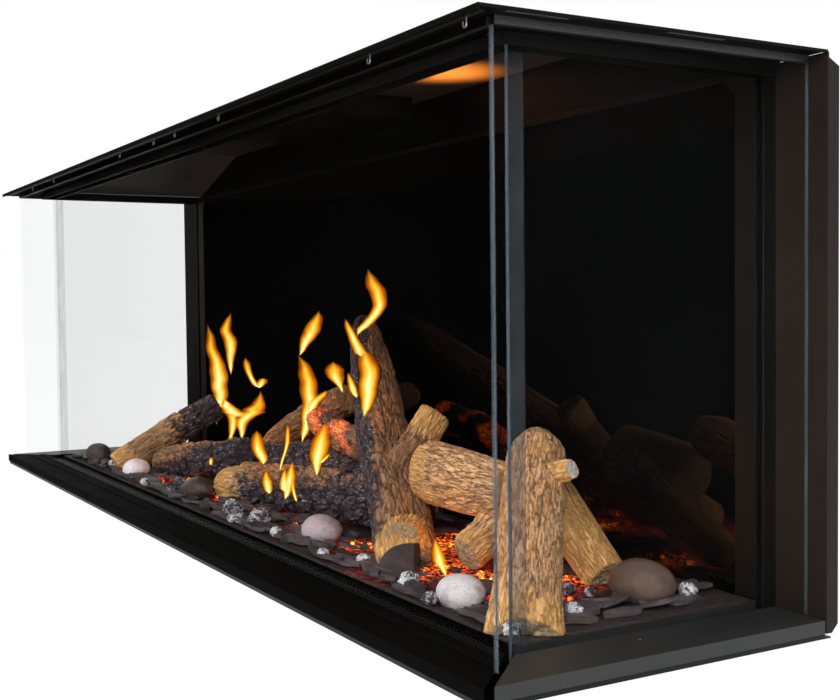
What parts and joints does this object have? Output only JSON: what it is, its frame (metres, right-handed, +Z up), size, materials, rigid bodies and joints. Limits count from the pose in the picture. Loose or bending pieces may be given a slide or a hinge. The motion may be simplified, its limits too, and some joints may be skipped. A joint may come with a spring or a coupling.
{
  "type": "three-sided gas fireplace",
  "caption": "Long built-in gas fireplace, glazed on the front and both ends, with a log and pebble fire bed, hood, coaxial flue collars and rear gas controls.",
  "frame": {"origin": "on the underside of the base pan, midway along the front and midway from the front face to the rear trim panels", "axes": "+X runs along the long front to the right, +Y points from the front glass to the back, +Z is up"},
  "size_m": [1.788, 0.462, 0.6423],
  "materials": {
    "black_paint": "satin heat-proof paint",
    "rear_paint": "satin heat-proof paint, slightly warmer",
    "glass": "clear ceramic glass",
    "black_glass": "opaque black, polished",
    "bright_wire": "bright wire",
    "rail": "satin black",
    "seal": "matt blue-grey",
    "steel": "satin",
    "galvanised": "galvanised sheet",
    "brass": "plain turned",
    "plastic": "matt black",
    "lever": "red enamel",
    "embers": "charred grit",
    "golden_bark": "golden bark, coloured ceramic",
    "brown_bark": "brown bark, coloured ceramic",
    "charred_bark": "charred bark, coloured ceramic",
    "brown_stone": "smooth pebble",
    "pale_stone": "smooth pebble",
    "white_stone": "smooth pebble",
    "dark_stone": "smooth pebble",
    "pink_stone": "smooth pebble"
  },
  "bodies": {
    "frame": {"base_pan": "black_paint", "front_sill": "black_paint", "left_sill": "black_paint", "right_sill": "black_paint", "top_plate": "black_paint", "firebox_hood": "black_paint", "front_top_channel": "black_paint", "left_top_channel": "black_paint", "right_top_channel": "black_paint", "left_rear_panel": "rear_paint", "right_rear_panel": "rear_paint", "left_side_channel": "rear_paint", "right_side_channel": "rear_paint", "rear_frame": "rear_paint", "back_liner": "black_glass", "rear_wall": "black_paint", "hood_baffle": "black_paint", "hook_strip": "bright_wire", "rear_casing": "galvanised", "front_glass": "glass", "left_glass": "glass", "right_glass": "glass", "left_corner_seal": "seal", "right_corner_seal": "seal", "burner_tray": "black_paint", "burner_tube": "steel", "gas_manifold": "brass", "gas_valve": "steel", "shutoff_valve": "brass", "pilot_burner": "steel", "outer_flue_collar": "galvanised", "inner_flue_collar": "steel", "ember_bed": "embers", "corner_log": "golden_bark", "cut_log": "golden_bark", "golden_log": "golden_bark", "centre_log": "golden_bark", "standing_log": "brown_bark", "front_charred_log": "charred_bark", "middle_charred_log": "charred_bark", "left_charred_log": "charred_bark", "end_log": "charred_bark", "back_log": "brown_bark", "glowing_log": "brown_bark", "brown_pebble": "brown_stone", "pale_pebble": "pale_stone", "white_pebble": "white_stone", "dark_pebble": "dark_stone", "pink_pebble": "pink_stone", "end_pebble": "dark_stone"},
    "front_pane": {"front_screen": "glass", "front_screen_rail": "rail"},
    "left_pane": {"left_screen": "glass", "left_screen_rail": "rail"},
    "right_pane": {"right_screen": "glass", "right_screen_rail": "rail"},
    "door": {"service_door": "galvanised"},
    "latch": {"door_latch": "plastic"},
    "knob": {"valve_knob": "plastic"},
    "lever": {"shutoff_lever": "lever"}
  },
  "joints": [
    {"name": "front_screen_swing", "type": "hinge", "parent": "frame", "child": "front_pane", "pos_m": [0, -0.165, 0.5482], "axis": [-1, 0, 0], "range_deg": [0, 15]},
    {"name": "left_screen_swing", "type": "hinge", "parent": "frame", "child": "left_pane", "pos_m": [-0.8725, 0, 0.5482], "axis": [0, 1, 0], "range_deg": [0, 15]},
    {"name": "right_screen_swing", "type": "hinge", "parent": "frame", "child": "right_pane", "pos_m": [0.8725, 0, 0.5482], "axis": [0, -1, 0], "range_deg": [0, 15]},
    {"name": "service_door_swing", "type": "hinge", "parent": "frame", "child": "door", "pos_m": [-0.118, 0.2622, 0.16], "axis": [0, 0, 1], "range_deg": [0, 110]},
    {"name": "door_latch_turn", "type": "hinge", "parent": "door", "child": "latch", "pos_m": [0.1, 0.2602, 0.16], "axis": [0, 1, 0], "range_deg": [0, 90]},
    {"name": "valve_knob_turn", "type": "hinge", "parent": "frame", "child": "knob", "pos_m": [-0.03, 0.2325, 0.13], "axis": [0, 1, 0], "range_deg": [0, 180]},
    {"name": "shutoff_lever_turn", "type": "hinge", "parent": "frame", "child": "lever", "pos_m": [0.0278, 0.2265, 0.13], "axis": [0, 1, 0], "range_deg": [0, 90]}
  ]
}
